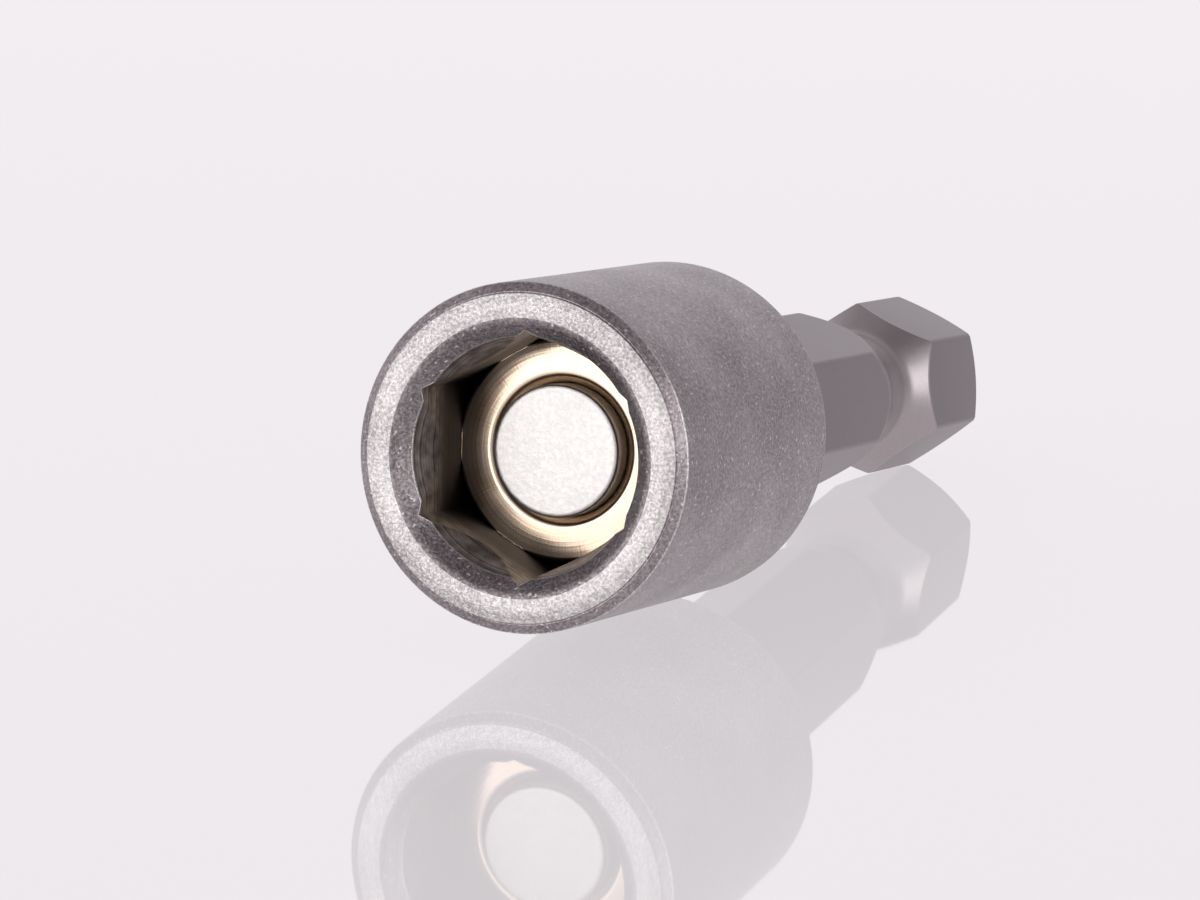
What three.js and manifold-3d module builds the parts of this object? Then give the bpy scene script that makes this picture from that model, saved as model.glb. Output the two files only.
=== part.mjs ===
// Magnetic nut setter: a round socket head pressed on a hexagon drive shank, with a magnet in a brass
// sleeve at the bottom of the hexagon socket.
//
// Units are millimetres. The tool lies along Y with its mouth towards -Y. The origin is the centre of
// the shank's end face. A "depth" below is measured from the mouth towards the shank.

import * as THREE from 'three';
import { mergeVertices, toCreasedNormals } from 'three/addons/utils/BufferGeometryUtils.js';
import Module from 'manifold-3d';

// Whole tool.
const OVERALL_LENGTH = 45;
const ROUND_SIDES = 96;
const CREASE_ANGLE = THREE.MathUtils.degToRad(5);

// Hexagon socket for an 8 mm nut, with its working clearance, and the steel round its corners.
const SOCKET_ACROSS_FLATS = 8.12;
const HEAD_WALL = 1.81;

// Mouth: a blasted chamfer just wider than the hexagon's corners, then a slimmer lead-in to the flats.
const MOUTH_MARGIN = 0.33;
const CHAMFER_DEPTH = 0.6;
const LEAD_INSET = 0.22;
const LEAD_DEPTH = 2.1;

// Rim: a flat face, a faint fall at its outer edge, then the bevel down to the cylinder.
const RIM_BEVEL = 0.38;
const RIM_BEVEL_DEPTH = 0.36;
const RIM_FALL = 0.3;
const RIM_FALL_DEPTH = 0.08;
const REAR_BEVEL = 0.12;

// Magnet, and the brass sleeve that keeps it away from the steel.
const MAGNET_DIAMETER = 5;
const MAGNET_LENGTH = 5;
const MAGNET_FACE_DEPTH = 3.65;
const MAGNET_EDGE = 0.12;
const MAGNET_GAP = 0.04;
const SLEEVE_FACE_DEPTH = 4.3;
const SLEEVE_COUNTERSINK = 0.26;
const SLEEVE_COUNTERSINK_DEPTH = 0.3;
const SLEEVE_BEVEL = 0.3;
const SLEEVE_SQUEEZE = 0.17;

// Shank: a quarter-inch hexagon bar, held in the head by a press fit.
const SHANK_ACROSS_FLATS = 6.35;
const SHANK_CORNER_CUT = 0.04;
const SHANK_TURN = THREE.MathUtils.degToRad(5.6);
const SHANK_GRIP = 7.05;
const PRESS_GAP = 0.02;
const END_BEVEL = 0.6;

// Detent groove, turned into the shank: a long front ramp, a floor and a steep rear wall.
const GROOVE_DEPTH = 0.72;
const GROOVE_FLOOR = 1.6;
const GROOVE_FRONT_ANGLE = THREE.MathUtils.degToRad(15);
const GROOVE_REAR_ANGLE = THREE.MathUtils.degToRad(37);
const GROOVE_TO_END = 6.55;

// Sizes that follow from those above.
const cornerRadius = (acrossFlats) => acrossFlats / Math.sqrt(3);
const socketCorner = cornerRadius(SOCKET_ACROSS_FLATS);
const socketFlat = SOCKET_ACROSS_FLATS / 2;
const headRadius = socketCorner + HEAD_WALL;
const mouthRadius = socketCorner + MOUTH_MARGIN;
const leadRadius = socketCorner - LEAD_INSET;
const seatDepth = MAGNET_FACE_DEPTH + MAGNET_LENGTH;
const headLength = seatDepth + SHANK_GRIP;
const magnetRadius = MAGNET_DIAMETER / 2;
const sleeveRadius = socketFlat + SLEEVE_SQUEEZE;
const sleeveBore = magnetRadius + MAGNET_GAP;
const shankFlat = SHANK_ACROSS_FLATS / 2;
const shankCorner = cornerRadius(SHANK_ACROSS_FLATS) - SHANK_CORNER_CUT;

const mouthY = -OVERALL_LENGTH;
const atDepth = (depth) => mouthY + depth;

const wasm = await Module();
wasm.setup();

// A closed surface in which corners that share a place share one vertex.
function welded(geometry) {
  const bare = geometry.index ? geometry.toNonIndexed() : geometry.clone();
  bare.deleteAttribute('normal');
  bare.deleteAttribute('uv');
  const merged = mergeVertices(bare, 1e-4);
  const corners = merged.index.array;
  const triangles = [];
  for (let i = 0; i < corners.length; i += 3) {
    const [a, b, c] = [corners[i], corners[i + 1], corners[i + 2]];
    if (a !== b && b !== c && c !== a) triangles.push(a, b, c);
  }
  merged.setIndex(triangles);
  return merged;
}

function toSolid(geometry) {
  const surface = welded(geometry);
  return new wasm.Manifold(new wasm.Mesh({
    numProp: 3,
    vertProperties: new Float32Array(surface.attributes.position.array),
    triVerts: new Uint32Array(surface.index.array),
  }));
}

function toGeometry(solid) {
  const mesh = solid.getMesh();
  const geometry = new THREE.BufferGeometry();
  geometry.setAttribute('position', new THREE.BufferAttribute(new Float32Array(mesh.vertProperties), 3));
  geometry.setIndex(new THREE.BufferAttribute(new Uint32Array(mesh.triVerts), 1));
  return geometry;
}

// A body turned about Y from points of [radius, y], listed from the mouth end to the shank end along
// its outside. A body with a bore lists the bore on the way back and closes on its first point.
function turned(profile) {
  const points = profile.map(([radius, y]) => new THREE.Vector2(radius, y));
  return new THREE.LatheGeometry(points, ROUND_SIDES);
}

// A hexagon bar along Y between two places, with two flats square to X when it isn't turned.
function hexagonBar(acrossFlats, startY, endY, turn = 0) {
  const outline = new THREE.Shape();
  for (let corner = 0; corner < 6; corner += 1) {
    const angle = turn + Math.PI / 6 + corner * Math.PI / 3;
    const x = cornerRadius(acrossFlats) * Math.cos(angle);
    const z = cornerRadius(acrossFlats) * Math.sin(angle);
    if (corner === 0) outline.moveTo(x, z);
    else outline.lineTo(x, z);
  }
  outline.closePath();
  const bar = new THREE.ExtrudeGeometry(outline, { depth: endY - startY, bevelEnabled: false });
  bar.rotateX(Math.PI / 2);
  bar.translate(0, endY, 0);
  return bar;
}

// The head is a turned blank with the socket broached from the front and the shank's hole from the rear.
function socketHead() {
  const rearY = atDepth(headLength);
  const bevelStart = headRadius - RIM_BEVEL;
  const blank = turned([
    [0, mouthY],
    [bevelStart - RIM_FALL, mouthY],
    [bevelStart, mouthY + RIM_FALL_DEPTH],
    [headRadius, mouthY + RIM_FALL_DEPTH + RIM_BEVEL_DEPTH],
    [headRadius, rearY - REAR_BEVEL],
    [headRadius - REAR_BEVEL, rearY],
    [0, rearY],
  ]);

  const chamferSlope = (mouthRadius - leadRadius) / CHAMFER_DEPTH;
  const leadIn = turned([
    [0, mouthY - CHAMFER_DEPTH],
    [mouthRadius + chamferSlope * CHAMFER_DEPTH, mouthY - CHAMFER_DEPTH],
    [leadRadius, atDepth(CHAMFER_DEPTH)],
    [socketFlat, atDepth(LEAD_DEPTH)],
    [0, atDepth(LEAD_DEPTH)],
  ]);

  const socket = hexagonBar(SOCKET_ACROSS_FLATS, mouthY - CHAMFER_DEPTH, atDepth(seatDepth));
  const shankHole = hexagonBar(
    SHANK_ACROSS_FLATS + 2 * PRESS_GAP, atDepth(seatDepth) - CHAMFER_DEPTH, rearY + CHAMFER_DEPTH, SHANK_TURN);

  return toGeometry(toSolid(blank)
    .subtract(toSolid(leadIn))
    .subtract(toSolid(socket))
    .subtract(toSolid(shankHole)));
}

// The shank is a hexagon bar put in a lathe for its groove and its end bevel. The same turned outline
// takes the sharpness off the bar's corners.
function driveShank() {
  const frontY = atDepth(seatDepth);
  const grooveRear = -GROOVE_TO_END;
  const grooveRadius = shankFlat - GROOVE_DEPTH;
  const wallEnd = grooveRear + (shankCorner - shankFlat) / Math.tan(GROOVE_REAR_ANGLE);
  const floorEnd = grooveRear - GROOVE_DEPTH / Math.tan(GROOVE_REAR_ANGLE);
  const floorStart = floorEnd - GROOVE_FLOOR;
  const rampStart = floorStart - (shankCorner - grooveRadius) / Math.tan(GROOVE_FRONT_ANGLE);
  const turnedOutline = turned([
    [0, frontY],
    [shankCorner, frontY],
    [shankCorner, rampStart],
    [grooveRadius, floorStart],
    [grooveRadius, floorEnd],
    [shankCorner, wallEnd],
    [shankCorner, -END_BEVEL],
    [shankCorner - END_BEVEL, 0],
    [0, 0],
  ]);
  const bar = hexagonBar(SHANK_ACROSS_FLATS, frontY, 0, SHANK_TURN);
  return toGeometry(toSolid(bar).intersect(toSolid(turnedOutline)));
}

// The sleeve is a turned brass ring, a little wider than the socket's flats, so that pressing it in squeezes
// six narrow flats on it. It seats on the shoulder where the socket ends.
function magnetSleeve() {
  const faceY = atDepth(SLEEVE_FACE_DEPTH);
  const seatY = atDepth(seatDepth);
  const ring = turned([
    [sleeveBore + SLEEVE_COUNTERSINK, faceY],
    [sleeveRadius - SLEEVE_BEVEL, faceY],
    [sleeveRadius, faceY + SLEEVE_BEVEL],
    [sleeveRadius, seatY],
    [sleeveBore, seatY],
    [sleeveBore, faceY + SLEEVE_COUNTERSINK_DEPTH],
    [sleeveBore + SLEEVE_COUNTERSINK, faceY],
  ]);
  const squeezed = hexagonBar(SOCKET_ACROSS_FLATS - 2 * PRESS_GAP, faceY - SLEEVE_BEVEL, seatY + SLEEVE_BEVEL);
  return toGeometry(toSolid(ring).intersect(toSolid(squeezed)));
}

// The magnet is a plated disc with rounded edges, glued in the sleeve against the end of the shank.
function roundMagnet() {
  const faceY = atDepth(MAGNET_FACE_DEPTH);
  const seatY = atDepth(seatDepth);
  const edgeSteps = 3;
  const edge = [];
  for (let step = 0; step <= edgeSteps; step += 1) {
    const angle = (step / edgeSteps) * Math.PI / 2;
    edge.push([MAGNET_EDGE * Math.sin(angle), MAGNET_EDGE * Math.cos(angle)]);
  }
  const coreRadius = magnetRadius - MAGNET_EDGE;
  const front = edge.map(([out, along]) => [coreRadius + out, faceY + MAGNET_EDGE - along]);
  const rear = edge.map(([out, along]) => [coreRadius + out, seatY - MAGNET_EDGE + along]).reverse();
  return welded(turned([[0, faceY], ...front, ...rear, [0, seatY]]));
}

// A named piece with its own finish. Edges sharper than the crease angle stay crisp, and rounds stay smooth.
function piece(name, geometry, colour, roughness) {
  const material = new THREE.MeshStandardMaterial({ color: colour, roughness, metalness: 1 });
  const mesh = new THREE.Mesh(toCreasedNormals(geometry, CREASE_ANGLE), material);
  mesh.name = name;
  return mesh;
}

const nutSetter = new THREE.Group();
nutSetter.add(piece('socket_head', socketHead(), 0x8a8388, 0.55));
nutSetter.add(piece('drive_shank', driveShank(), 0x857d82, 0.5));
nutSetter.add(piece('magnet_sleeve', magnetSleeve(), 0xd0b384, 0.25));
nutSetter.add(piece('magnet', roundMagnet(), 0xd9d6d8, 0.3));

export default nutSetter;
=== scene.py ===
# %% [markdown]
# # A magnetic nut setter
#
# This tool drives hexagon-head screws. A round steel head holds a hexagon socket, a magnet in a brass
# sleeve sits at the bottom of the socket, and a hexagon shank goes into the chuck of a drill.
#
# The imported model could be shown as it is, but its rounds are made of flat facets and its edges are
# knife sharp. So each of the four pieces is made again here in the same place, with finer steps and
# softened edges, and then gets its finish.

# %% Load the frame
import math
from collections import namedtuple

import bmesh
import bpy
import numpy as np
from mathutils import Matrix, Vector


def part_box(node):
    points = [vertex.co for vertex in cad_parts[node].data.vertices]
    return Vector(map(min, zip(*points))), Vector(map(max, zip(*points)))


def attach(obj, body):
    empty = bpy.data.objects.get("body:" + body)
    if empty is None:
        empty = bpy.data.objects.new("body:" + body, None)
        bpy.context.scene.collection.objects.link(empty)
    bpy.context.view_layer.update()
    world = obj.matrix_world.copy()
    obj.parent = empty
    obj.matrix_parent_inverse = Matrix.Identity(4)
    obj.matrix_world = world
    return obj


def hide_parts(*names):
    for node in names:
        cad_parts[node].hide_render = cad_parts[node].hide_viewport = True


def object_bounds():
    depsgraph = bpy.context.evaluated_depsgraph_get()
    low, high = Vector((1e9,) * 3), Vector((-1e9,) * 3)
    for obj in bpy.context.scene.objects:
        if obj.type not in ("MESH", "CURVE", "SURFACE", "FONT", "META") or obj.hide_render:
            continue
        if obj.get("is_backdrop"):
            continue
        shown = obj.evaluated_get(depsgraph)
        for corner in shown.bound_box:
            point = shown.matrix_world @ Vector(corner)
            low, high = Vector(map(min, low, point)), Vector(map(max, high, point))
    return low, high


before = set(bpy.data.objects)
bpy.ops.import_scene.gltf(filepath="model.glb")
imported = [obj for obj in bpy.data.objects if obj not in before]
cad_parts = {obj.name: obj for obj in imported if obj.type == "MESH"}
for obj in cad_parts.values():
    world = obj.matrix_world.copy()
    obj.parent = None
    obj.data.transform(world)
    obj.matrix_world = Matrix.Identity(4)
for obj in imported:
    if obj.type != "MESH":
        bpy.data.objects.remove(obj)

MM = 0.001
cad_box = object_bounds()
scene = bpy.context.scene
scene.view_settings.view_transform = "Standard"
print("pieces in the frame:", sorted(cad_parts))

# %% [markdown]
# ## Sizes read from the frame
#
# The tool lies along Y with its mouth towards -Y. A depth is measured from the mouth towards the shank.
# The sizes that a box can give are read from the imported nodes, so they can't drift away from the model.
# The ones that a box can't give, such as the chamfers, are written in millimetres where they are used.

# %% Read the main sizes
head_low, head_high = (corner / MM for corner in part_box("socket_head"))
shank_low, shank_high = (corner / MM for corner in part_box("drive_shank"))
sleeve_low, sleeve_high = (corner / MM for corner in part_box("magnet_sleeve"))
magnet_low, magnet_high = (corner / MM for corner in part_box("magnet"))

mouth_y = head_low.y
head_radius = head_high.z
head_length = head_high.y - mouth_y
tool_length = shank_high.y - mouth_y
seat_depth = shank_low.y - mouth_y
sleeve_face = sleeve_low.y - mouth_y
sleeve_radius = sleeve_high.z
magnet_face = magnet_low.y - mouth_y
magnet_radius = magnet_high.z
print(f"head {2 * head_radius:.2f} mm wide and {head_length:.2f} mm long, tool {tool_length:.2f} mm long")

# %% [markdown]
# ## The camera
#
# The tool was photographed with a long lens from the front, a little to its right and just above it.
# The camera could be placed by eye, but its angle, its distance and its lens were worked out from the
# edges in the picture, so that each edge of the model falls where the picture has it. The camera also
# leans by a degree or so, as the picture does.

# %% Place the camera
VIEW_AZIMUTH = math.radians(21.19)
VIEW_ELEVATION = math.radians(5.21)
VIEW_LEAN = math.radians(1.42)
VIEW_DISTANCE = 222.55
VIEW_RIGHT_OF_MOUTH = 3.2
VIEW_ABOVE_MOUTH = 0.51
LENS = 183.3
SENSOR = 36.0

towards_camera = Vector((
    math.sin(VIEW_AZIMUTH) * math.cos(VIEW_ELEVATION),
    -math.cos(VIEW_AZIMUTH) * math.cos(VIEW_ELEVATION),
    math.sin(VIEW_ELEVATION)))
level_right = Vector((math.cos(VIEW_AZIMUTH), math.sin(VIEW_AZIMUTH), 0.0))
level_up = towards_camera.cross(level_right)
camera_right = level_right * math.cos(VIEW_LEAN) + level_up * math.sin(VIEW_LEAN)
camera_up = level_up * math.cos(VIEW_LEAN) - level_right * math.sin(VIEW_LEAN)
aim = Vector((VIEW_RIGHT_OF_MOUTH, mouth_y, VIEW_ABOVE_MOUTH))
camera_place = (aim + towards_camera * VIEW_DISTANCE) * MM

camera_data = bpy.data.cameras.new("photo_camera")
camera_data.lens = LENS
camera_data.sensor_width = SENSOR
camera_data.clip_start = MM
camera = bpy.data.objects.new("photo_camera", camera_data)
turn = Matrix((camera_right, camera_up, towards_camera)).transposed().to_4x4()
camera.matrix_world = Matrix.Translation(camera_place) @ turn
scene.collection.objects.link(camera)
scene.camera = camera
print("camera at", [round(c / MM, 1) for c in camera_place], "mm")

# %% [markdown]
# ## Colours and nodes
#
# A colour is written as the hex value that a painter would pick on a screen. Blender's shaders count
# light, so each value is turned to linear first. A second small function adds one node to a material
# with its settings and links, which keeps every material below to a few plain lines. A third turns the
# real size of a pattern into the scale that a noise node asks for.

# %% Three helpers for every material
def linear(hex_colour):
    """The linear colour of an sRGB hex value such as "#8a8388"."""
    channels = [int(hex_colour[i:i + 2], 16) / 255 for i in (1, 3, 5)]
    light = [c / 12.92 if c <= 0.04045 else ((c + 0.055) / 1.055) ** 2.4 for c in channels]
    return light + [1.0]


def add(tree, kind, settings=None, inputs=None):
    """Adds a node. Settings are its own properties, inputs are values or the sockets that feed it."""
    node = tree.nodes.new(kind)
    for name, value in (settings or {}).items():
        setattr(node, name, value)
    for name, value in (inputs or {}).items():
        if isinstance(value, bpy.types.NodeSocket):
            tree.links.new(value, node.inputs[name])
        else:
            node.inputs[name].default_value = value
    return node


def per_mm(size):
    """What a noise node must be set to, so that a pattern's features are this many millimetres across."""
    return 1 / (size * MM)


print("mid grey is", [round(c, 3) for c in linear("#808080")])

# %% [markdown]
# ## The white room
#
# The tool lies in a white studio, and its metal mirrors whatever stands around it. The room could be
# built from white cards, but a plain white world does the same with one shader. It gets greyer towards
# +X and overhead, where the studio is open, because metal needs something darker to mirror. The camera
# and the reflections see the room's own white, and the room's light on dull surfaces is set apart.

# %% Paint the white room
PALE_ROOM = "#fcf7fb"
ROOM_LIGHT = 0.7
OPEN_SIDE = 0.5
OPEN_CEILING = 0.4
# Where each grey starts and where it is full, as the part of a direction that points along X or Z.
OPEN_SIDE_STARTS, OPEN_SIDE_FULL = 0.0, 0.5
OPEN_CEILING_STARTS, OPEN_CEILING_FULL = 0.4, 0.9


def seen_or_mirrored(tree):
    """1 for what the camera, a mirror or glass shows, and 0 for the light that falls on dull surfaces."""
    path = add(tree, "ShaderNodeLightPath")
    seen = add(tree, "ShaderNodeMath", {"operation": "MAXIMUM"}, {
        0: path.outputs["Is Camera Ray"], 1: path.outputs["Is Glossy Ray"]})
    seen = add(tree, "ShaderNodeMath", {"operation": "MAXIMUM"}, {
        0: seen.outputs[0], 1: path.outputs["Is Transmission Ray"]})
    return seen.outputs[0]


world = bpy.data.worlds.new("white_room")
world.use_nodes = True
scene.world = world
room = world.node_tree
room.nodes.clear()
level = add(room, "ShaderNodeMapRange", None, {
    "Value": seen_or_mirrored(room), "To Min": ROOM_LIGHT, "To Max": 1.0})
direction = add(room, "ShaderNodeTexCoord")
direction = add(room, "ShaderNodeSeparateXYZ", None, {"Vector": direction.outputs["Generated"]})
open_side = add(room, "ShaderNodeMapRange", None, {
    "Value": direction.outputs["X"], "From Min": OPEN_SIDE_STARTS, "From Max": OPEN_SIDE_FULL,
    "To Min": 1.0, "To Max": OPEN_SIDE})
open_ceiling = add(room, "ShaderNodeMapRange", None, {
    "Value": direction.outputs["Z"], "From Min": OPEN_CEILING_STARTS, "From Max": OPEN_CEILING_FULL,
    "To Min": 1.0, "To Max": OPEN_CEILING})
strength = add(room, "ShaderNodeMath", {"operation": "MULTIPLY"}, {
    0: level.outputs["Result"], 1: open_side.outputs["Result"]})
strength = add(room, "ShaderNodeMath", {"operation": "MULTIPLY"}, {
    0: strength.outputs[0], 1: open_ceiling.outputs["Result"]})
white = add(room, "ShaderNodeBackground", None, {
    "Color": linear(PALE_ROOM), "Strength": strength.outputs[0]})
add(room, "ShaderNodeOutputWorld", None, {"Surface": white.outputs[0]})
print("room painted with", len(room.nodes), "nodes")

# %% [markdown]
# ## Two soft lamps
#
# A broad lamp stands in front of the mouth, a little to the left, and lights the rim, the brass and the
# magnet. Another stands to the right and lights the side of the head and the groove. Point lamps would be
# simpler, but metal shows them as small hot spots. A broad area lamp gives metal a broad, soft sheen. The
# camera doesn't see the lamps themselves.

# %% Set up the two lamps
def soft_lamp(name, place, width, height, power):
    """A rectangular lamp that faces the tool's mouth. Place and size are in millimetres, power in watts."""
    lamp = bpy.data.lights.new(name, "AREA")
    lamp.shape = "RECTANGLE"
    lamp.size = width * MM
    lamp.size_y = height * MM
    lamp.energy = power
    holder = bpy.data.objects.new(name, lamp)
    spot = Vector(place) * MM
    facing = Vector((0, mouth_y * MM, 0)) - spot
    holder.matrix_world = Matrix.Translation(spot) @ facing.to_track_quat("-Z", "Y").to_matrix().to_4x4()
    holder.visible_camera = False
    scene.collection.objects.link(holder)
    return holder


soft_lamp("front_lamp", place=(-110, mouth_y - 280, 10), width=260, height=210, power=0.28)
right_lamp = soft_lamp("right_lamp", place=(280, mouth_y - 60, 30), width=260, height=230, power=0.45)
print("lamps:", [lamp.name for lamp in bpy.data.lights])

# %% [markdown]
# ## The floor
#
# The round head is thicker than the shank, so a tool put down on its side lies on two places: the rear
# edge of the head and a corner of the shank's end. The pieces stay where the frame puts them, so the
# floor is the one that leans. Its height could be set by eye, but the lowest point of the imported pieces
# is measured along the floor's normal, and the floor goes right under it.

# %% Lay the floor under the tool
FLOOR_PITCH = math.radians(5.73)
FLOOR_ROLL = math.radians(2.6)
FLOOR_HALF = 2000

floor_normal = Vector((math.sin(FLOOR_ROLL), -math.sin(FLOOR_PITCH), 1)).normalized()


def lowest(node):
    """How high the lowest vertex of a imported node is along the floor's normal, in metres."""
    return min(vertex.co.dot(floor_normal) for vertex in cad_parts[node].data.vertices)


floor_level = min(lowest(node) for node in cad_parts)
for node in ("socket_head", "drive_shank"):
    print(f"{node} stands {(lowest(node) - floor_level) / MM:.3f} mm above the floor")

half = FLOOR_HALF * MM
floor_corners = [(-half, -half, 0), (half, -half, 0), (half, half, 0), (-half, half, 0)]
floor_mesh = bpy.data.meshes.new("glass_floor")
floor_mesh.from_pydata(floor_corners, [], [(0, 1, 2, 3)])
floor = bpy.data.objects.new("glass_floor", floor_mesh)
floor.matrix_world = (Matrix.Translation(floor_normal * floor_level)
                      @ floor_normal.to_track_quat("Z", "Y").to_matrix().to_4x4())
scene.collection.objects.link(floor)
floor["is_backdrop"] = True

# %% [markdown]
# ## White glass
#
# The floor is polished float glass over a white backing. Its face mirrors the tool sharply, and most of
# all at a low angle. What it doesn't mirror shows the white underneath. A white board would be simpler,
# but it has no mirror image. The white is drawn as a glow that only the camera and mirrors see, so it
# doesn't light the tool from below, and a Fresnel node takes off the share that the face mirrors. A dull
# grey under the glow takes the soft shadow. From below the sheet is clear, so it never hides the tool.

# %% Give the floor its white glass
BACKING_GLOW = "#eeeaed"
BACKING_GREY = "#757274"
GLOW_STRENGTH = 0.87
GLASS_IOR = 1.5
GLASS_ROUGHNESS = 0.03

white_glass = bpy.data.materials.new("white_glass")
white_glass.use_nodes = True
tree = white_glass.node_tree
tree.nodes.clear()
mirrored = add(tree, "ShaderNodeFresnel", None, {"IOR": GLASS_IOR})
through = add(tree, "ShaderNodeMapRange", None, {
    "Value": mirrored.outputs[0], "To Min": GLOW_STRENGTH, "To Max": 0.0})
glow = add(tree, "ShaderNodeMath", {"operation": "MULTIPLY"}, {
    0: seen_or_mirrored(tree), 1: through.outputs["Result"]})
glass = add(tree, "ShaderNodeBsdfPrincipled", None, {
    "Base Color": linear(BACKING_GREY), "Roughness": GLASS_ROUGHNESS, "IOR": GLASS_IOR,
    "Emission Color": linear(BACKING_GLOW), "Emission Strength": glow.outputs[0]})
clear = add(tree, "ShaderNodeBsdfTransparent")
side = add(tree, "ShaderNodeNewGeometry")
sheet = add(tree, "ShaderNodeMixShader", None, {
    0: side.outputs["Backfacing"], 1: glass.outputs[0], 2: clear.outputs[0]})
add(tree, "ShaderNodeOutputMaterial", None, {"Surface": sheet.outputs[0]})
floor_mesh.materials.append(white_glass)
print("floor finish:", white_glass.name)

# %% [markdown]
# ## Keeping one lamp off the glass
#
# From behind, the glass would mirror the right lamp as a white block beside the tool. A studio would hang
# a flag between the lamp and the table. Light linking does the same: a collection that names the floor as
# left out is handed to the lamp.

# %% Flag the right lamp
not_lit = bpy.data.collections.new("not_lit_from_the_right")
not_lit.objects.link(floor)
not_lit.collection_objects[0].light_linking.link_state = "EXCLUDE"
right_lamp.light_linking.receiver_collection = not_lit

# %% [markdown]
# ## How the pieces are shaped
#
# All four pieces are turned about Y, and some of them are hexagons part of the way. A screw modifier can
# turn a profile but it can't make a hexagon, and a boolean leaves a rough mesh. So a piece is written as a
# list of edges that run round the axis. Each edge has a radius and a depth, and both may change with the
# angle, which makes a hexagon or a scalloped line as easy as a circle.

# %% Edges that run round the axis
# Radius and depth in millimetres, how far the edge is softened, the finish of that softened edge, and the
# finish of the face that follows it.
Edge = namedtuple("Edge", "radius depth soft worn band")
STEPS_ROUND = 480


def angles(turned_by=0.0):
    """The angles at which a piece has its points, starting from the angle that it is turned by."""
    return turned_by + np.arange(STEPS_ROUND) * (2 * math.pi / STEPS_ROUND)


def hexagon(across_flats, at, turned_by=0.0):
    """The radius of a hexagon's outline at each angle. Unturned, two of its flats face +X and -X."""
    sixth = math.pi / 3
    off_flat = np.mod(at - turned_by + sixth / 2, sixth) - sixth / 2
    return across_flats / 2 / np.cos(off_flat)


print(f"a hexagon 8 mm across its flats is {2 * hexagon(8, angles()).max():.2f} mm over its corners")

# %% [markdown]
# ## Softened edges
#
# A cut edge on real metal is never quite sharp, and its small round is what catches the light. A bevel
# modifier could round it, but here each edge has its own softness, and its round may have another finish
# than its faces. So each edge becomes a short curve that starts and ends a little way along its two faces.

# %% Soften the edges
STEPS_OVER_EDGE = 6
MOST_OF_A_FACE = 0.45
NO_LENGTH = 1e-9


def step_towards(here, there, reach):
    """A point that is reach away from here towards there, but never past the middle of that face."""
    way = there - here
    length = np.maximum(np.linalg.norm(way, axis=1, keepdims=True), NO_LENGTH)
    return here + way / length * np.minimum(reach, MOST_OF_A_FACE * length)


def softened(edges, at, closed):
    """The rows of points, and the finish of the band after each row, with every edge softened."""
    corners = [np.stack([np.broadcast_to(e.radius, at.shape), np.broadcast_to(e.depth, at.shape)], axis=1)
               for e in edges]
    rows, bands = [], []
    for i, edge in enumerate(edges):
        here = corners[i]
        at_end = not closed and i in (0, len(edges) - 1)
        if edge.soft == 0 or at_end:
            rows.append(here)
            bands.append(edge.band)
            continue
        start = step_towards(here, corners[i - 1], edge.soft)
        stop = step_towards(here, corners[(i + 1) % len(edges)], edge.soft)
        for step in range(STEPS_OVER_EDGE + 1):
            s = step / STEPS_OVER_EDGE
            rows.append((1 - s) ** 2 * start + 2 * s * (1 - s) * here + s ** 2 * stop)
            bands.append(edge.band if step == STEPS_OVER_EDGE else edge.worn)
    return rows, bands


print("a softened edge is drawn in", STEPS_OVER_EDGE, "steps")

# %% [markdown]
# ## From edges to a mesh
#
# Neighbouring rows of points are joined by four-sided faces. Points that fall together, as at the axis,
# are merged, and every face is turned to the outside. The shading is smooth, except where faces meet at a
# plain corner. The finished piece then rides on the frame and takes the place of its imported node.

# %% Join the edges to a piece
SHARP_ABOVE = math.radians(24)
SAME_PLACE = 0.0002


def make_piece(name, edges, finishes, closed, turned_by=0.0):
    """Builds one piece from its edges, puts it on the frame in place of its node, and returns it."""
    at = angles(turned_by)
    rows, bands = softened(edges, at, closed)
    points = [np.stack([row[:, 0] * np.cos(at), row[:, 1] + mouth_y, row[:, 0] * np.sin(at)], axis=1)
              for row in rows]
    spans = len(rows) if closed else len(rows) - 1
    faces = []
    for i in range(spans):
        this = i * STEPS_ROUND
        following = (i + 1) % len(rows) * STEPS_ROUND
        for j in range(STEPS_ROUND):
            k = (j + 1) % STEPS_ROUND
            faces.append((this + j, this + k, following + k, following + j))
    mesh = bpy.data.meshes.new(name)
    mesh.from_pydata((np.concatenate(points) * MM).tolist(), [], faces)
    mesh.polygons.foreach_set("material_index", np.repeat(bands[:spans], STEPS_ROUND).astype(np.int32))
    work = bmesh.new()
    work.from_mesh(mesh)
    bmesh.ops.remove_doubles(work, verts=work.verts, dist=SAME_PLACE * MM)
    bmesh.ops.recalc_face_normals(work, faces=work.faces)
    work.to_mesh(mesh)
    work.free()
    mesh.polygons.foreach_set("use_smooth", [True] * len(mesh.polygons))
    mesh.set_sharp_from_angle(angle=SHARP_ABOVE)
    for finish in finishes:
        mesh.materials.append(finish)
    made = bpy.data.objects.new(name + "_finished", mesh)
    scene.collection.objects.link(made)
    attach(made, "root")
    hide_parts(name)
    print(f"{made.name}: {len(mesh.polygons)} faces, {len(finishes)} finishes")
    return made


print("points within", SAME_PLACE, "mm of each other are merged")
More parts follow.
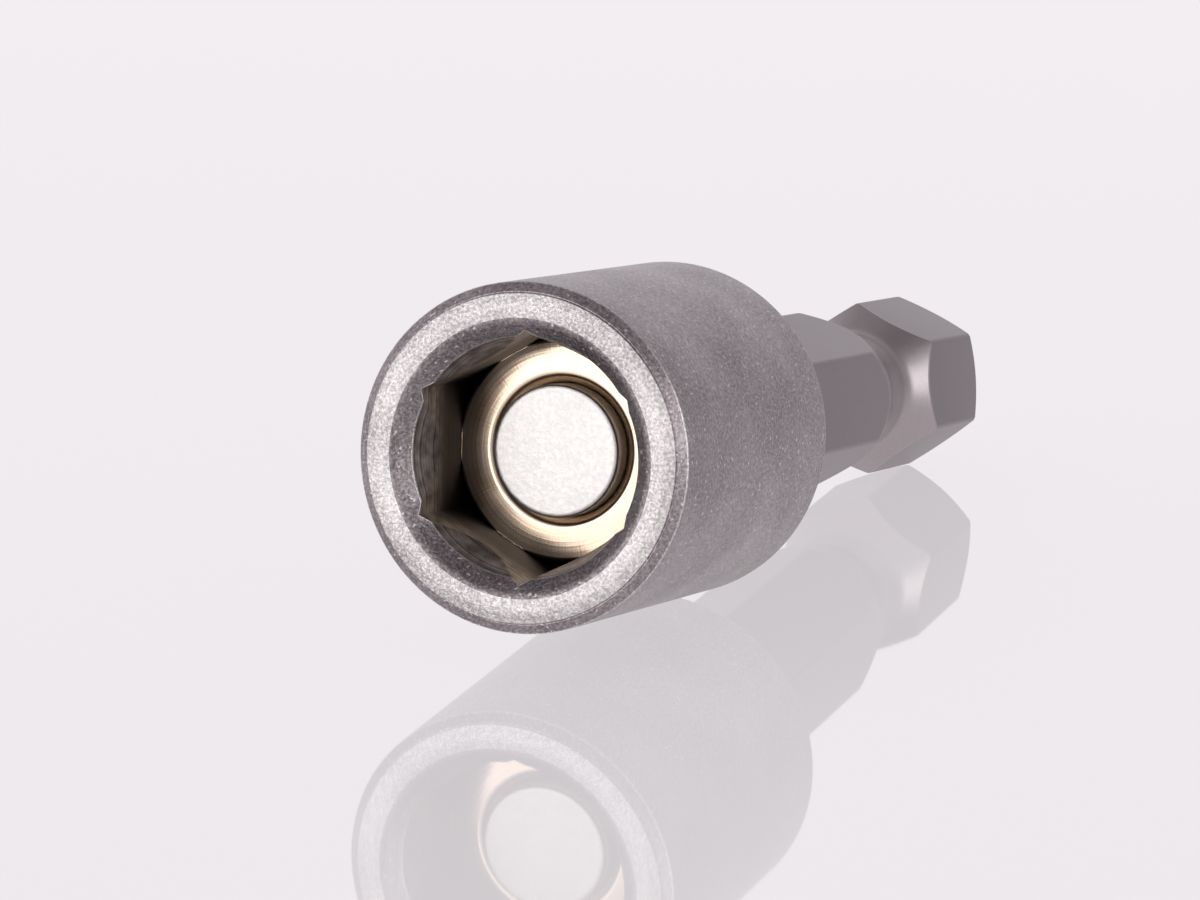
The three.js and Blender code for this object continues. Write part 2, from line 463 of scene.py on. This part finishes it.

# %% [markdown]
# ## Blasted steel
#
# The head is chrome-vanadium steel that was hardened and then blasted with fine beads. Blasting beats in
# tiny dents, so the eye sees a dull mid grey, with a glint where a dent happens to face the light. A photo
# of such steel could be laid over it, but noise has no seams and fits any shape. The dents are made twice
# from one noise: as bump, which breaks up the light, and as a tone that is darker in the hollows. A large
# noise adds faint clouds, and a third one paints the glints into the colour as pale flecks. These are
# painted highlights, and they stay the same under any light. Real dents are a few hundredths of a
# millimetre across, too fine to show, so they are drawn several times coarser. The outside keeps a thin
# film of oil, which a weak coat gives.

# %% Mix the blasted steel
NOISE_LOW, NOISE_HIGH = 0.34, 0.66
DENT_SHARE, DENT_SHIFT = 0.7, -0.15
CLOUD_SIZE = 3.0
CLOUD_SHARE = 0.6
# Painted highlights: flecks of this pale colour are mixed into the base colour as glints.
PAINTED_GLINT = "#e6e0e2"
PAINTED_GLINT_SPACING = 0.14
PAINTED_GLINT_STARTS, PAINTED_GLINT_FULL = 0.73, 0.8
OIL_ROUGHNESS = 0.3


def new_finish(name):
    """An empty material, its nodes, and the place on the piece that every pattern starts from."""
    material = bpy.data.materials.new(name)
    material.use_nodes = True
    tree = material.node_tree
    tree.nodes.clear()
    return material, tree, add(tree, "ShaderNodeTexCoord").outputs["Object"]


def blasted_finish(name, hollow, crest, dent, relief, roughness, painted_glints=0.0, oil=0.0):
    """Metal with beaten-in dents and painted glints. Dent and relief are the width and height of a dent in
    millimetres.
    """
    material, tree, place = new_finish(name)
    dents = add(tree, "ShaderNodeTexNoise", None, {
        "Vector": place, "Scale": per_mm(dent), "Detail": 5.0, "Roughness": 0.65})
    high = add(tree, "ShaderNodeMapRange", None, {
        "Value": dents.outputs["Fac"], "From Min": NOISE_LOW, "From Max": NOISE_HIGH})
    clouds = add(tree, "ShaderNodeTexNoise", None, {
        "Vector": place, "Scale": per_mm(CLOUD_SIZE), "Detail": 3.0})
    share = add(tree, "ShaderNodeMath", {"operation": "MULTIPLY_ADD", "use_clamp": True}, {
        0: high.outputs[0], 1: DENT_SHARE, 2: DENT_SHIFT})
    share = add(tree, "ShaderNodeMath", {"operation": "MULTIPLY_ADD", "use_clamp": True}, {
        0: clouds.outputs["Fac"], 1: CLOUD_SHARE, 2: share.outputs[0]})
    tone = add(tree, "ShaderNodeMixRGB", None, {
        "Fac": share.outputs[0], "Color1": linear(hollow), "Color2": linear(crest)})
    # Painted highlights: where this fine noise peaks, pale flecks are mixed into the base colour.
    flecks = add(tree, "ShaderNodeTexNoise", None, {
        "Vector": place, "Scale": per_mm(PAINTED_GLINT_SPACING), "Detail": 0.0})
    painted_glint = add(tree, "ShaderNodeMapRange", None, {
        "Value": flecks.outputs["Fac"], "From Min": PAINTED_GLINT_STARTS, "From Max": PAINTED_GLINT_FULL,
        "To Max": painted_glints})
    tone = add(tree, "ShaderNodeMixRGB", None, {
        "Fac": painted_glint.outputs[0], "Color1": tone.outputs[0], "Color2": linear(PAINTED_GLINT)})
    bump = add(tree, "ShaderNodeBump", None, {
        "Height": dents.outputs["Fac"], "Strength": 1.0, "Distance": relief * MM})
    metal = add(tree, "ShaderNodeBsdfPrincipled", None, {
        "Base Color": tone.outputs[0], "Metallic": 1.0, "Roughness": roughness,
        "Normal": bump.outputs[0], "Coat Weight": oil, "Coat Roughness": OIL_ROUGHNESS})
    add(tree, "ShaderNodeOutputMaterial", None, {"Surface": metal.outputs[0]})
    return material


# The side of the head is dull and grey.
blasted_steel = blasted_finish(
    "blasted_steel", hollow="#51484c", crest="#beb5b8", dent=0.12, relief=0.022, roughness=0.4,
    painted_glints=0.7, oil=0.2)
# The rim is rubbed bright on its crests, so it is nearly white under the lamp.
worn_steel = blasted_finish(
    "worn_bright_steel", hollow="#787271", crest="#f4f0ef", dent=0.11, relief=0.036, roughness=0.3,
    painted_glints=0.5)
# The chamfer inside the mouth is rough and is never rubbed, so it is the darkest of the three.
chamfer_steel = blasted_finish(
    "rough_chamfer_steel", hollow="#3c3434", crest="#b2aaac", dent=0.12, relief=0.03, roughness=0.36,
    painted_glints=0.8)
print("steel finishes:", blasted_steel.name, worn_steel.name, chamfer_steel.name)

# %% [markdown]
# ## Cut steel inside the socket
#
# The cone that leads into the hexagon was turned, and the walls were broached. A turning tool leaves
# rings and a broach leaves chatter lines, and both follow the depth. Light falls on the walls near the
# mouth, and further in the socket is in shade. So the eye sees a streaked brown grey that gets nearly
# black further in. That shade is also painted into the colour: the finish itself darkens with depth.
# Two materials could give that, but they would meet in a hard line, so one finish gets darker with
# depth. The marks are drawn from the place along Y.

# %% Mix the cut steel
STREAK_LOW, STREAK_HIGH = 0.12, 0.4
STREAK_LENGTH = 0.5
# Painted shade starts at the first depth and is full at the second, in millimetres from the mouth.
SHADE_STARTS_DEPTH = 1.0
SHADE_FULL_DEPTH = 3.1


def cut_finish(name, dark, light, depth_shade, feed, relief, roughness):
    """Steel with the marks of a cutter that advanced by a feed in millimetres along the axis, and painted
    shade that darkens it with depth.
    """
    material, tree, place = new_finish(name)
    along = add(tree, "ShaderNodeSeparateXYZ", None, {"Vector": place})
    marks = add(tree, "ShaderNodeTexNoise", {"noise_dimensions": "1D"}, {
        "W": along.outputs["Y"], "Scale": per_mm(feed), "Detail": 3.0})
    breaks = add(tree, "ShaderNodeTexNoise", None, {
        "Vector": place, "Scale": per_mm(STREAK_LENGTH), "Detail": 3.0})
    share = add(tree, "ShaderNodeMath", {"operation": "MULTIPLY"}, {
        0: marks.outputs["Fac"], 1: breaks.outputs["Fac"]})
    spread = add(tree, "ShaderNodeMapRange", None, {
        "Value": share.outputs[0], "From Min": STREAK_LOW, "From Max": STREAK_HIGH})
    tone = add(tree, "ShaderNodeMixRGB", None, {
        "Fac": spread.outputs[0], "Color1": linear(dark), "Color2": linear(light)})
    # Painted shade: between these depths the colour darkens towards the shade colour, deeper in the socket.
    deeper = add(tree, "ShaderNodeMapRange", {"interpolation_type": "SMOOTHSTEP"}, {
        "Value": along.outputs["Y"], "From Min": (mouth_y + SHADE_STARTS_DEPTH) * MM,
        "From Max": (mouth_y + SHADE_FULL_DEPTH) * MM})
    tone = add(tree, "ShaderNodeMixRGB", None, {
        "Fac": deeper.outputs[0], "Color1": tone.outputs[0], "Color2": linear(depth_shade)})
    bump = add(tree, "ShaderNodeBump", None, {
        "Height": marks.outputs["Fac"], "Strength": 1.0, "Distance": relief * MM})
    metal = add(tree, "ShaderNodeBsdfPrincipled", None, {
        "Base Color": tone.outputs[0], "Metallic": 1.0, "Roughness": roughness,
        "Normal": bump.outputs[0]})
    add(tree, "ShaderNodeOutputMaterial", None, {"Surface": metal.outputs[0]})
    return material


# The last colour is painted shade, for the walls deep in the socket.
cut_steel = cut_finish(
    "cut_socket_steel", dark="#665d5a", light="#c6bdb9", depth_shade="#2a2423", feed=0.11, relief=0.009,
    roughness=0.5)
print("cut finish:", cut_steel.name)

# %% [markdown]
# ## The socket head
#
# The head is a turned cylinder with a hexagon broached into its front. Where the round lead-in meets the
# flat walls of the hexagon, the line between them rises and falls in six scallops. A boolean could cut
# that line, but it is worked out here: at each angle it lies where the cone is just as wide as the
# hexagon. The bright rim rises to a soft crest, and a fine cut line parts it from the bevel.

# %% Work out the edges of the head
SOCKET_FLATS = 8.12
MOUTH_RADIUS = 5.018
LEAD_RADIUS = 4.468
CHAMFER_DEPTH = 0.6
LEAD_DEPTH = 2.1
SHANK_FLATS = 6.35
SHANK_TURN = math.radians(5.6)
PRESS_GAP = 0.02
RIM_BEVEL = 0.38
RIM_BEVEL_END = 0.44
RIM_FALL_DEPTH = 0.12
RIM_CREST = 5.62
MOUTH_EDGE_DROP = 0.08
RIM_LINE = 0.04
RIM_LINE_LEAN = 0.4
REAR_BEVEL = 0.12

round_head = angles()
socket = hexagon(SOCKET_FLATS, round_head)
shank_hole = hexagon(SHANK_FLATS + 2 * PRESS_GAP, round_head, SHANK_TURN)
down_chamfer = (MOUTH_RADIUS - socket) / (MOUTH_RADIUS - LEAD_RADIUS)
down_lead = (LEAD_RADIUS - socket) / (LEAD_RADIUS - SOCKET_FLATS / 2)
on_chamfer = CHAMFER_DEPTH * down_chamfer
on_lead = CHAMFER_DEPTH + (LEAD_DEPTH - CHAMFER_DEPTH) * down_lead
scallop = np.where(socket > LEAD_RADIUS, on_chamfer, on_lead)
lead_edge = np.maximum(socket, LEAD_RADIUS)
lead_edge_depth = np.minimum(scallop, CHAMFER_DEPTH)
bevel_start = head_radius - RIM_BEVEL
# The cut line is deeper towards +X.
rim_line_drop = RIM_LINE * (1 + RIM_LINE_LEAN * np.cos(round_head))
print(f"the scallops run from {scallop.min():.2f} to {scallop.max():.2f} mm deep")

# %% [markdown]
# ## The head's list of edges
#
# The list goes once round the section of the head: from the seat of the shank out along the walls of the
# socket to the mouth, over the rim, along the outside to the rear, and back through the shank's hole.

# %% Build the socket head
BLASTED, WORN, CHAMFER, CUT = range(4)
head = make_piece("socket_head", [
    Edge(shank_hole, seat_depth, 0, CUT, CUT),
    Edge(socket, seat_depth, 0, CUT, CUT),
    Edge(socket, scallop, 0.08, CUT, CUT),
    Edge(lead_edge, lead_edge_depth, 0.04, WORN, CHAMFER),
    Edge(MOUTH_RADIUS, MOUTH_EDGE_DROP, 0.16, CHAMFER, WORN),
    Edge(RIM_CREST, 0.0, 0.22, WORN, WORN),
    Edge(bevel_start - RIM_LINE, RIM_FALL_DEPTH - RIM_LINE / 4, 0.02, WORN, BLASTED),
    Edge(bevel_start, RIM_FALL_DEPTH + rim_line_drop, 0, BLASTED, BLASTED),
    Edge(bevel_start + RIM_LINE, RIM_FALL_DEPTH + RIM_LINE, 0.02, BLASTED, BLASTED),
    Edge(head_radius, RIM_BEVEL_END, 0.05, WORN, BLASTED),
    Edge(head_radius, head_length - REAR_BEVEL, 0.05, WORN, BLASTED),
    Edge(head_radius - REAR_BEVEL, head_length, 0.05, WORN, BLASTED),
    Edge(shank_hole, head_length, 0.03, BLASTED, BLASTED),
], [blasted_steel, worn_steel, chamfer_steel, cut_steel], closed=True)

# %% [markdown]
# ## The drive shank
#
# The shank is drawn hexagon bar, blasted with the head but with a finer grain. A lathe cut the groove
# that a chuck's ball drops into, and the bevel at the end. Because a turned cone meets flat sides, the
# groove's edges are curved. A boolean could cut them, but they follow from the bar's radius at each angle.

# %% Work out the edges of the shank
GROOVE_RADIUS = 2.455
GROOVE_FLOOR = 1.6
GROOVE_FRONT = math.radians(15)
GROOVE_REAR = math.radians(37)
GROOVE_TO_END = 6.55
END_BEVEL = 0.6
CORNER_CUT = 0.04

shank_corner = SHANK_FLATS / math.sqrt(3) - CORNER_CUT
bar = np.minimum(hexagon(SHANK_FLATS, angles(SHANK_TURN), SHANK_TURN), shank_corner)
floor_end = tool_length - GROOVE_TO_END - (SHANK_FLATS / 2 - GROOVE_RADIUS) / math.tan(GROOVE_REAR)
floor_start = floor_end - GROOVE_FLOOR
ramp_start = floor_start - (bar - GROOVE_RADIUS) / math.tan(GROOVE_FRONT)
wall_end = floor_end + (bar - GROOVE_RADIUS) / math.tan(GROOVE_REAR)
bevel_edge = tool_length - END_BEVEL + (shank_corner - bar)
print(f"the groove starts {ramp_start.min():.2f} mm and ends {wall_end.max():.2f} mm from the mouth")

# %% [markdown]
# ## The shank's steel
#
# Drawn bar is smooth before it is blasted, so its flats are an even, quiet grey with hardly any grain.
# The ball of a chuck rubs the groove, which is a little smoother. Its paler tone is partly that wear and
# partly a painted highlight, for the right lamp's sheen on the groove. Both are the blasted finish of the
# head with closer tones and lower dents.

# %% Build the drive shank
bar_steel = blasted_finish(
    "blasted_bar_steel", hollow="#7f767a", crest="#8b8286", dent=0.08, relief=0.006, roughness=0.42,
    oil=0.2)
# The groove is paler than the bar, partly from wear by a chuck's ball and partly as a painted highlight.
rubbed_sheen_steel = blasted_finish(
    "ball_rubbed_sheen_steel", hollow="#a8a0a2", crest="#b6aeb0", dent=0.08, relief=0.006, roughness=0.36)
BAR, RUBBED_SHEEN = range(2)
shank = make_piece("drive_shank", [
    Edge(0.0, seat_depth, 0, BAR, BAR),
    Edge(bar, seat_depth, 0.1, BAR, BAR),
    Edge(bar, ramp_start, 0.15, BAR, BAR),
    Edge(GROOVE_RADIUS, floor_start, 0.7, RUBBED_SHEEN, RUBBED_SHEEN),
    Edge(GROOVE_RADIUS, floor_end, 0.45, RUBBED_SHEEN, RUBBED_SHEEN),
    Edge(bar, wall_end, 0.08, RUBBED_SHEEN, BAR),
    Edge(bar, bevel_edge, 0.06, BAR, BAR),
    Edge(shank_corner - END_BEVEL, tool_length, 0.08, BAR, BAR),
    Edge(0.0, tool_length, 0, BAR, BAR),
], [bar_steel, rubbed_sheen_steel], closed=False, turned_by=SHANK_TURN)

# %% [markdown]
# ## Turned brass
#
# The sleeve is free-cutting brass, turned bright. The feed of the lathe leaves rings and the chatter of
# its tool leaves short marks across them, so the light on the brass breaks into thin arcs. Anisotropy
# could stretch the sheen, but it shows no single ring. So the rings are drawn from the distance to the
# axis and the chatter from the angle round it. A real feed is some hundredths of a millimetre, too fine to
# show, so it is drawn coarser.

# %% Mix the turned brass
BRASS_DARK = "#cdb59b"
BRASS_LIGHT = "#dfccb7"
BRASS_CLOUD = 0.9
BRASS_ROUGHNESS = 0.17
BRASS_FEED = 0.14
BRASS_CHATTER = 0.1
CHATTER_SHARE = 0.9
BRASS_RELIEF = 0.002


def turned_brass_finish(name):
    """Brass with the rings of a lathe's feed round Y and chatter marks across them."""
    material, tree, place = new_finish(name)
    across = add(tree, "ShaderNodeVectorMath", {"operation": "MULTIPLY"}, {0: place, 1: (1, 0, 1)})
    radius = add(tree, "ShaderNodeVectorMath", {"operation": "LENGTH"}, {0: across.outputs[0]})
    rings = add(tree, "ShaderNodeTexNoise", {"noise_dimensions": "1D"}, {
        "W": radius.outputs["Value"], "Scale": per_mm(BRASS_FEED), "Detail": 2.0})
    split = add(tree, "ShaderNodeSeparateXYZ", None, {"Vector": place})
    around = add(tree, "ShaderNodeMath", {"operation": "ARCTAN2"}, {
        0: split.outputs["Z"], 1: split.outputs["X"]})
    chatter = add(tree, "ShaderNodeTexNoise", {"noise_dimensions": "1D"}, {
        "W": around.outputs[0], "Scale": sleeve_radius / BRASS_CHATTER, "Detail": 1.0})
    marks = add(tree, "ShaderNodeMath", {"operation": "MULTIPLY_ADD"}, {
        0: chatter.outputs["Fac"], 1: CHATTER_SHARE, 2: rings.outputs["Fac"]})
    bump = add(tree, "ShaderNodeBump", None, {
        "Height": marks.outputs[0], "Strength": 1.0, "Distance": BRASS_RELIEF * MM})
    clouds = add(tree, "ShaderNodeTexNoise", None, {
        "Vector": place, "Scale": per_mm(BRASS_CLOUD), "Detail": 2.0})
    colour = add(tree, "ShaderNodeMixRGB", None, {
        "Fac": clouds.outputs["Fac"], "Color1": linear(BRASS_DARK), "Color2": linear(BRASS_LIGHT)})
    brass = add(tree, "ShaderNodeBsdfPrincipled", None, {
        "Base Color": colour.outputs[0], "Metallic": 1.0, "Roughness": BRASS_ROUGHNESS,
        "Normal": bump.outputs[0]})
    add(tree, "ShaderNodeOutputMaterial", None, {"Surface": brass.outputs[0]})
    return material


turned_brass = turned_brass_finish("turned_brass")
print("brass finish:", turned_brass.name)

# %% [markdown]
# ## The magnet sleeve
#
# The sleeve is a brass ring, pressed into the socket so that its outside takes six narrow flats from the
# hexagon. Its bore is countersunk round the magnet, its face falls a little towards the outside, and its
# outer edge is rolled over. A circle and a hexagon could be joined by a boolean, but the smaller of their
# two radii at each angle gives the same outline.

# %% Build the magnet sleeve
SLEEVE_BORE = 2.51
SLEEVE_COUNTERSINK = 0.32
SLEEVE_COUNTERSINK_DEPTH = 0.36
SLEEVE_BEVEL = 0.14
SLEEVE_FALL = 0.055

pressed = np.minimum(sleeve_radius, hexagon(SOCKET_FLATS - 2 * PRESS_GAP, round_head))
bevel_inner = sleeve_radius - SLEEVE_BEVEL
sleeve = make_piece("magnet_sleeve", [
    Edge(SLEEVE_BORE + SLEEVE_COUNTERSINK, sleeve_face, 0.15, 0, 0),
    Edge(bevel_inner, sleeve_face + SLEEVE_FALL, 0.08, 0, 0),
    Edge(pressed, sleeve_face + SLEEVE_FALL + pressed - bevel_inner, 0.07, 0, 0),
    Edge(pressed, seat_depth, 0, 0, 0),
    Edge(SLEEVE_BORE, seat_depth, 0, 0, 0),
    Edge(SLEEVE_BORE, sleeve_face + SLEEVE_COUNTERSINK_DEPTH, 0.1, 0, 0),
], [turned_brass], closed=True)

# %% [markdown]
# ## The magnet
#
# The magnet is a rare-earth disc with a thin coat of nickel. The plating follows the pressed powder under
# it, so the face is frosted rather than bright, and almost white under the lamp. The blasted finish with
# pale, close tones gives that frost. A bevelled cylinder would do for the shape, but the list of edges
# gives the same soft roll at the rim of the face.

# %% Build the magnet
MAGNET_EDGE = 0.12
MAGNET_ROLL = 0.15

nickel_plate = blasted_finish(
    "frosted_nickel", hollow="#c2bfbc", crest="#dbd8d5", dent=0.16, relief=0.014, roughness=0.4)
magnet = make_piece("magnet", [
    Edge(0.0, magnet_face, 0, 0, 0),
    Edge(magnet_radius - MAGNET_ROLL, magnet_face, 0.06, 0, 0),
    Edge(magnet_radius - MAGNET_ROLL / 4, magnet_face + MAGNET_ROLL / 4, 0.05, 0, 0),
    Edge(magnet_radius, magnet_face + MAGNET_EDGE, 0.04, 0, 0),
    Edge(magnet_radius, seat_depth, MAGNET_EDGE, 0, 0),
    Edge(0.0, seat_depth, 0, 0, 0),
], [nickel_plate], closed=False)

# %% [markdown]
# ## Both boxes
#
# The finished tool should fill the same box as the imported model, because it takes that model's place. The
# two could be compared by eye, but both boxes are printed here, in millimetres, to be read as numbers.

# %% Write both boxes and finish
for name, box in (("packed", cad_box), ("finished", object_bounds())):
    print(name, "tool:", [round((high - low) / MM, 3) for low, high in zip(*box)], "mm")
